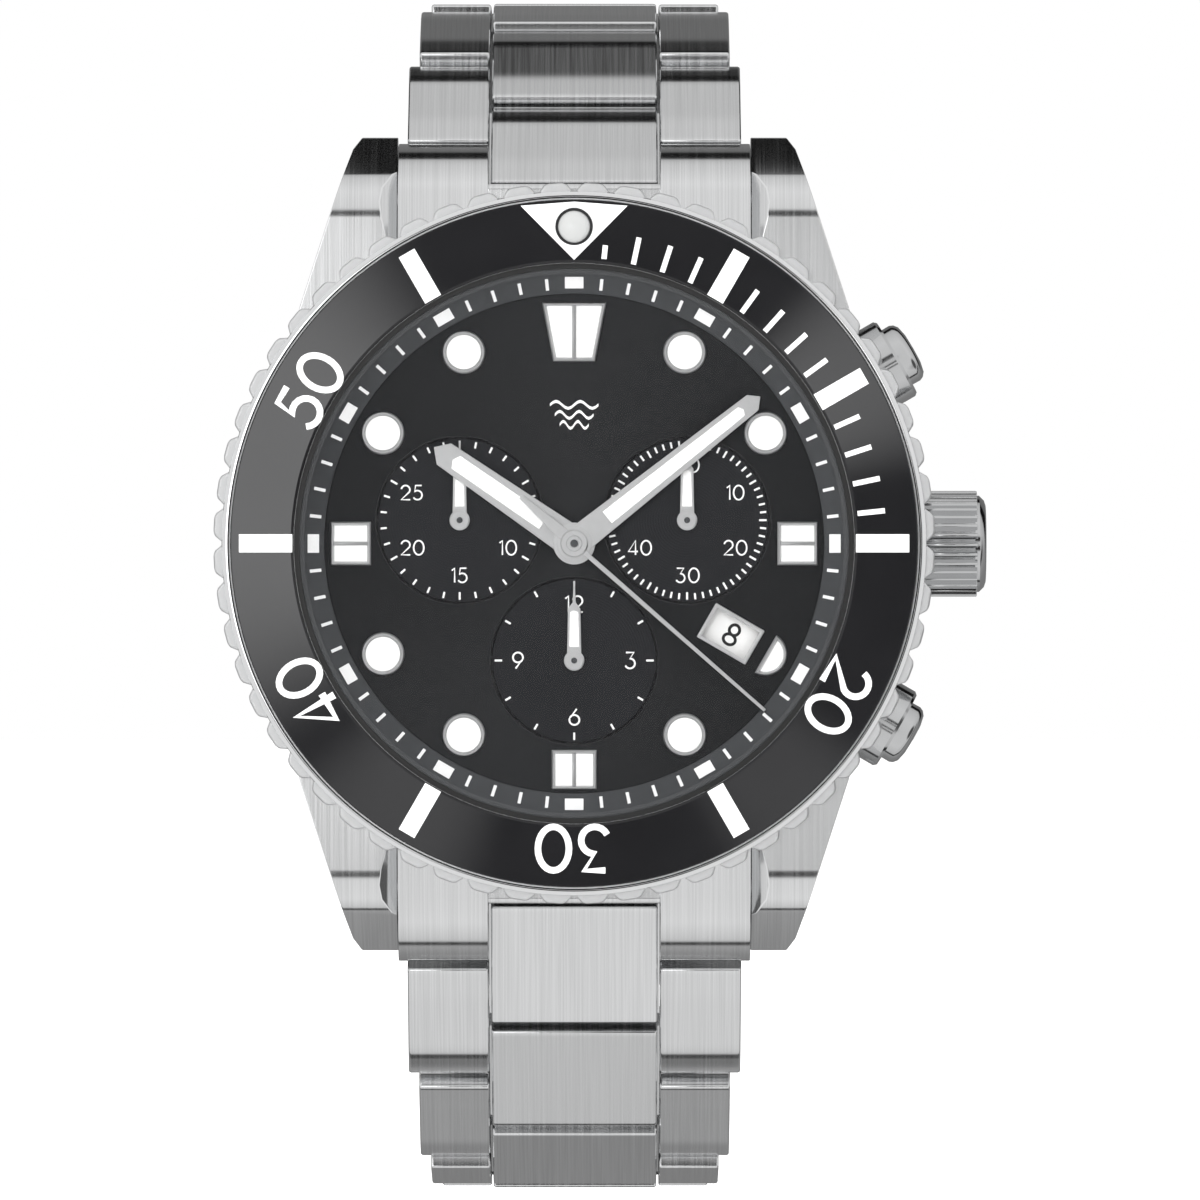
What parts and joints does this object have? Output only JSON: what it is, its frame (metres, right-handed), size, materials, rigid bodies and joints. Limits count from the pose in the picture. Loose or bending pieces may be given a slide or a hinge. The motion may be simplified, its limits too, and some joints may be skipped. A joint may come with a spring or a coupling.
{
  "type": "dive watch",
  "caption": "Steel dive chronograph with a turning toothed bezel, three counters, crown, two pushers and a folding-clasp bracelet of hinged links.",
  "frame": {"origin": "middle of the case back's outer flat face", "axes": "+X to the crown at 3 o'clock, +Z to 12 o'clock, +Y out of the case back into the wrist; the dial faces -Y"},
  "size_m": [0.0479, 0.0534, 0.0762],
  "materials": {
    "brushed_steel": "brushed",
    "polished_steel": "polished",
    "insert_black": "gloss",
    "lume_white": "matte",
    "crystal_clear": "polished",
    "seal_rubber": "matte",
    "ring_grey": "satin",
    "dial_charcoal": "sunburst satin",
    "date_white": "matte",
    "movement_brass": "satin",
    "holder_plastic": "matte",
    "spring_steel": "satin"
  },
  "bodies": {
    "case": {"case_middle": "brushed_steel", "case_back": "brushed_steel", "case_back_gasket": "seal_rubber", "bezel_click_spring": "spring_steel", "crystal": "crystal_clear", "crystal_gasket": "seal_rubber", "chapter_ring": "ring_grey", "dial": "dial_charcoal", "movement": "movement_brass", "movement_holder": "holder_plastic", "battery": "polished_steel", "crown_tube": "spring_steel", "upper_pusher_tube": "polished_steel", "lower_pusher_tube": "polished_steel", "end_link_12": "brushed_steel", "end_link_6": "brushed_steel", "spring_bar_12": "spring_steel", "spring_bar_6": "spring_steel"},
    "bezel": {"bezel_ring": "polished_steel", "bezel_insert": "insert_black", "bezel_pearl": "lume_white"},
    "date_disc": {"date_disc": "date_white"},
    "hour_hand": {"hour_hand": "polished_steel"},
    "minute_hand": {"minute_hand": "polished_steel"},
    "chrono_seconds_hand": {"chrono_seconds_hand": "polished_steel"},
    "small_seconds_hand": {"small_seconds_hand": "polished_steel"},
    "minute_counter_hand": {"minute_counter_hand": "polished_steel"},
    "hour_counter_hand": {"hour_counter_hand": "polished_steel"},
    "setting_lever": {"setting_lever": "spring_steel"},
    "crown": {"crown": "polished_steel", "winding_stem": "spring_steel"},
    "upper_pusher": {"upper_pusher": "polished_steel"},
    "lower_pusher": {"lower_pusher": "polished_steel"},
    "link_A_centre_1": {"link_A_centre_1": "brushed_steel"},
    "link_A_outer_1": {"link_A_outer_1": "brushed_steel"},
    "link_A_centre_2": {"link_A_centre_2": "brushed_steel"},
    "link_A_outer_2": {"link_A_outer_2": "brushed_steel"},
    "link_A_centre_3": {"link_A_centre_3": "brushed_steel"},
    "link_A_outer_3": {"link_A_outer_3": "brushed_steel"},
    "link_A_centre_4": {"link_A_centre_4": "brushed_steel"},
    "link_A_outer_4": {"link_A_outer_4": "brushed_steel"},
    "link_A_centre_5": {"link_A_centre_5": "brushed_steel"},
    "link_A_outer_5": {"link_A_outer_5": "brushed_steel"},
    "link_A_centre_6": {"link_A_centre_6": "brushed_steel"},
    "link_B_centre_1": {"link_B_centre_1": "brushed_steel"},
    "link_B_outer_1": {"link_B_outer_1": "brushed_steel"},
    "link_B_centre_2": {"link_B_centre_2": "brushed_steel"},
    "link_B_outer_2": {"link_B_outer_2": "brushed_steel"},
    "link_B_centre_3": {"link_B_centre_3": "brushed_steel"},
    "link_B_outer_3": {"link_B_outer_3": "brushed_steel"},
    "link_B_centre_4": {"link_B_centre_4": "brushed_steel"},
    "link_B_outer_4": {"link_B_outer_4": "brushed_steel"},
    "link_B_centre_5": {"link_B_centre_5": "brushed_steel"},
    "link_B_outer_5": {"link_B_outer_5": "brushed_steel"},
    "link_B_centre_6": {"link_B_centre_6": "brushed_steel"},
    "clasp_inner_blade": {"clasp_inner_blade": "brushed_steel"},
    "clasp_middle_blade": {"clasp_middle_blade": "brushed_steel"},
    "clasp_cover": {"clasp_cover": "brushed_steel"},
    "clasp_button_left": {"clasp_button_left": "polished_steel"},
    "clasp_button_right": {"clasp_button_right": "polished_steel"}
  },
  "joints": [
    {"name": "bezel_turn", "type": "hinge", "parent": "case", "child": "bezel", "pos_m": [0, 0, 0], "axis": [0, 1, 0], "continuous": true},
    {"name": "minute_hand_turn", "type": "hinge", "parent": "case", "child": "minute_hand", "pos_m": [0, 0, 0], "axis": [0, 1, 0], "continuous": true},
    {"name": "hour_hand_turn", "type": "hinge", "parent": "case", "child": "hour_hand", "pos_m": [0, 0, 0], "axis": [0, 1, 0], "continuous": true},
    {"name": "chrono_seconds_turn", "type": "hinge", "parent": "case", "child": "chrono_seconds_hand", "pos_m": [0, 0, 0], "axis": [0, 1, 0], "continuous": true},
    {"name": "small_seconds_turn", "type": "hinge", "parent": "case", "child": "small_seconds_hand", "pos_m": [0.007, 0, 0.00145], "axis": [0, 1, 0], "continuous": true},
    {"name": "minute_counter_turn", "type": "hinge", "parent": "case", "child": "minute_counter_hand", "pos_m": [-0.0071, 0, 0.00145], "axis": [0, 1, 0], "continuous": true},
    {"name": "hour_counter_turn", "type": "hinge", "parent": "case", "child": "hour_counter_hand", "pos_m": [0, 0, -0.00725], "axis": [0, 1, 0], "continuous": true},
    {"name": "date_disc_turn", "type": "hinge", "parent": "case", "child": "date_disc", "pos_m": [0, 0, 0], "axis": [0, 1, 0], "continuous": true},
    {"name": "crown_pull", "type": "slide", "parent": "case", "child": "setting_lever", "axis": [1, 0, 0], "range_m": [0, 0.0018]},
    {"name": "crown_turn", "type": "hinge", "parent": "setting_lever", "child": "crown", "pos_m": [0.02, -0.0049, 0], "axis": [1, 0, 0], "continuous": true},
    {"name": "upper_pusher_press", "type": "slide", "parent": "case", "child": "upper_pusher", "axis": [-0.866, 0, -0.5], "range_m": [0, 0.0008], "stiffness_N_per_m": 1500, "springref_m": -0.002},
    {"name": "lower_pusher_press", "type": "slide", "parent": "case", "child": "lower_pusher", "axis": [-0.866, 0, 0.5], "range_m": [0, 0.0008], "stiffness_N_per_m": 1500, "springref_m": -0.002},
    {"name": "pin_A_0", "type": "hinge", "parent": "case", "child": "link_A_centre_1", "pos_m": [0, -0.0026, 0.0227], "axis": [1, 0, 0], "range_deg": [0, 20]},
    {"name": "pin_A_1", "type": "hinge", "parent": "link_A_centre_1", "child": "link_A_outer_1", "pos_m": [0, 0.00112, 0.0254], "axis": [1, 0, 0], "range_deg": [0, 2]},
    {"name": "pin_A_2", "type": "hinge", "parent": "link_A_outer_1", "child": "link_A_centre_2", "pos_m": [0, 0.00484, 0.02811], "axis": [1, 0, 0], "range_deg": [0, 6]},
    {"name": "pin_A_3", "type": "hinge", "parent": "link_A_centre_2", "child": "link_A_outer_2", "pos_m": [0, 0.00874, 0.03054], "axis": [1, 0, 0], "range_deg": [0, 12.15]},
    {"name": "pin_A_4", "type": "hinge", "parent": "link_A_outer_2", "child": "link_A_centre_3", "pos_m": [0, 0.01301, 0.03226], "axis": [1, 0, 0], "range_deg": [0, 13.31]},
    {"name": "pin_A_5", "type": "hinge", "parent": "link_A_centre_3", "child": "link_A_outer_3", "pos_m": [0, 0.01754, 0.0331], "axis": [1, 0, 0], "range_deg": [0, 14.03]},
    {"name": "pin_A_6", "type": "hinge", "parent": "link_A_outer_3", "child": "link_A_centre_4", "pos_m": [0, 0.02213, 0.03298], "axis": [1, 0, 0], "range_deg": [0, 14.56]},
    {"name": "pin_A_7", "type": "hinge", "parent": "link_A_centre_4", "child": "link_A_outer_4", "pos_m": [0, 0.0266, 0.03186], "axis": [1, 0, 0], "range_deg": [0, 14.99]},
    {"name": "pin_A_8", "type": "hinge", "parent": "link_A_outer_4", "child": "link_A_centre_5", "pos_m": [0, 0.03069, 0.02977], "axis": [1, 0, 0], "range_deg": [0, 15.35]},
    {"name": "pin_A_9", "type": "hinge", "parent": "link_A_centre_5", "child": "link_A_outer_5", "pos_m": [0, 0.0342, 0.02679], "axis": [1, 0, 0], "range_deg": [0, 15.67]},
    {"name": "pin_A_10", "type": "hinge", "parent": "link_A_outer_5", "child": "link_A_centre_6", "pos_m": [0, 0.0369, 0.02307], "axis": [1, 0, 0], "range_deg": [0, 15.94]},
    {"name": "pin_A_11", "type": "hinge", "parent": "link_A_centre_6", "child": "clasp_inner_blade", "pos_m": [0, 0.03862, 0.0188], "axis": [1, 0, 0], "range_deg": [0, 25.08]},
    {"name": "clasp_fold", "type": "hinge", "parent": "clasp_inner_blade", "child": "clasp_middle_blade", "pos_m": [0, 0.03651, -0.02245], "axis": [-1, 0, 0], "range_deg": [0, 150]},
    {"name": "clasp_cover_fold", "type": "hinge", "parent": "clasp_middle_blade", "child": "clasp_cover", "pos_m": [0, 0.03829, 0.01081], "axis": [1, 0, 0], "range_deg": [0, 150]},
    {"name": "clasp_button_left_press", "type": "slide", "parent": "clasp_cover", "child": "clasp_button_left", "axis": [1, 0, 0], "range_m": [0, 0.0007], "stiffness_N_per_m": 1200, "springref_m": -0.0015},
    {"name": "clasp_button_right_press", "type": "slide", "parent": "clasp_cover", "child": "clasp_button_right", "axis": [-1, 0, 0], "range_m": [0, 0.0007], "stiffness_N_per_m": 1200, "springref_m": -0.0015},
    {"name": "pin_B_11", "type": "hinge", "parent": "clasp_cover", "child": "link_B_centre_6", "pos_m": [0, 0.03614, -0.02743], "axis": [1, 0, 0], "range_deg": [0, 18.92]},
    {"name": "pin_B_10", "type": "hinge", "parent": "link_B_centre_6", "child": "link_B_outer_5", "pos_m": [0, 0.03441, -0.0317], "axis": [1, 0, 0], "range_deg": [0, 19.57]},
    {"name": "pin_B_9", "type": "hinge", "parent": "link_B_outer_5", "child": "link_B_centre_5", "pos_m": [0, 0.03148, -0.03524], "axis": [1, 0, 0], "range_deg": [0, 18.71]},
    {"name": "pin_B_8", "type": "hinge", "parent": "link_B_centre_5", "child": "link_B_outer_4", "pos_m": [0, 0.02766, -0.0378], "axis": [1, 0, 0], "range_deg": [0, 17.79]},
    {"name": "pin_B_7", "type": "hinge", "parent": "link_B_outer_4", "child": "link_B_centre_4", "pos_m": [0, 0.02328, -0.03921], "axis": [1, 0, 0], "range_deg": [0, 16.81]},
    {"name": "pin_B_6", "type": "hinge", "parent": "link_B_centre_4", "child": "link_B_outer_3", "pos_m": [0, 0.01869, -0.03947], "axis": [1, 0, 0], "range_deg": [0, 15.73]},
    {"name": "pin_B_5", "type": "hinge", "parent": "link_B_outer_3", "child": "link_B_centre_3", "pos_m": [0, 0.01417, -0.03862], "axis": [1, 0, 0], "range_deg": [0, 14.55]},
    {"name": "pin_B_4", "type": "hinge", "parent": "link_B_centre_3", "child": "link_B_outer_2", "pos_m": [0, 0.00994, -0.03681], "axis": [1, 0, 0], "range_deg": [0, 13.2]},
    {"name": "pin_B_3", "type": "hinge", "parent": "link_B_outer_2", "child": "link_B_centre_2", "pos_m": [0, 0.00614, -0.03421], "axis": [1, 0, 0], "range_deg": [0, 11.62]},
    {"name": "pin_B_2", "type": "hinge", "parent": "link_B_centre_2", "child": "link_B_outer_1", "pos_m": [0, 0.00283, -0.03102], "axis": [1, 0, 0], "range_deg": [0, 9.62]},
    {"name": "pin_B_1", "type": "hinge", "parent": "link_B_outer_1", "child": "link_B_centre_1", "pos_m": [0, -0.00003, -0.02741], "axis": [1, 0, 0], "range_deg": [0, 6.4]}
  ],
  "couplings": [
    {"joint": "hour_hand_turn", "follows": "minute_hand_turn", "ratio": 0.083333},
    {"joint": "small_seconds_turn", "follows": "minute_hand_turn", "ratio": 60},
    {"joint": "minute_counter_turn", "follows": "chrono_seconds_turn", "ratio": 0.033333},
    {"joint": "hour_counter_turn", "follows": "chrono_seconds_turn", "ratio": 0.0013889},
    {"joint": "clasp_cover_fold", "follows": "clasp_fold", "ratio": 1}
  ]
}
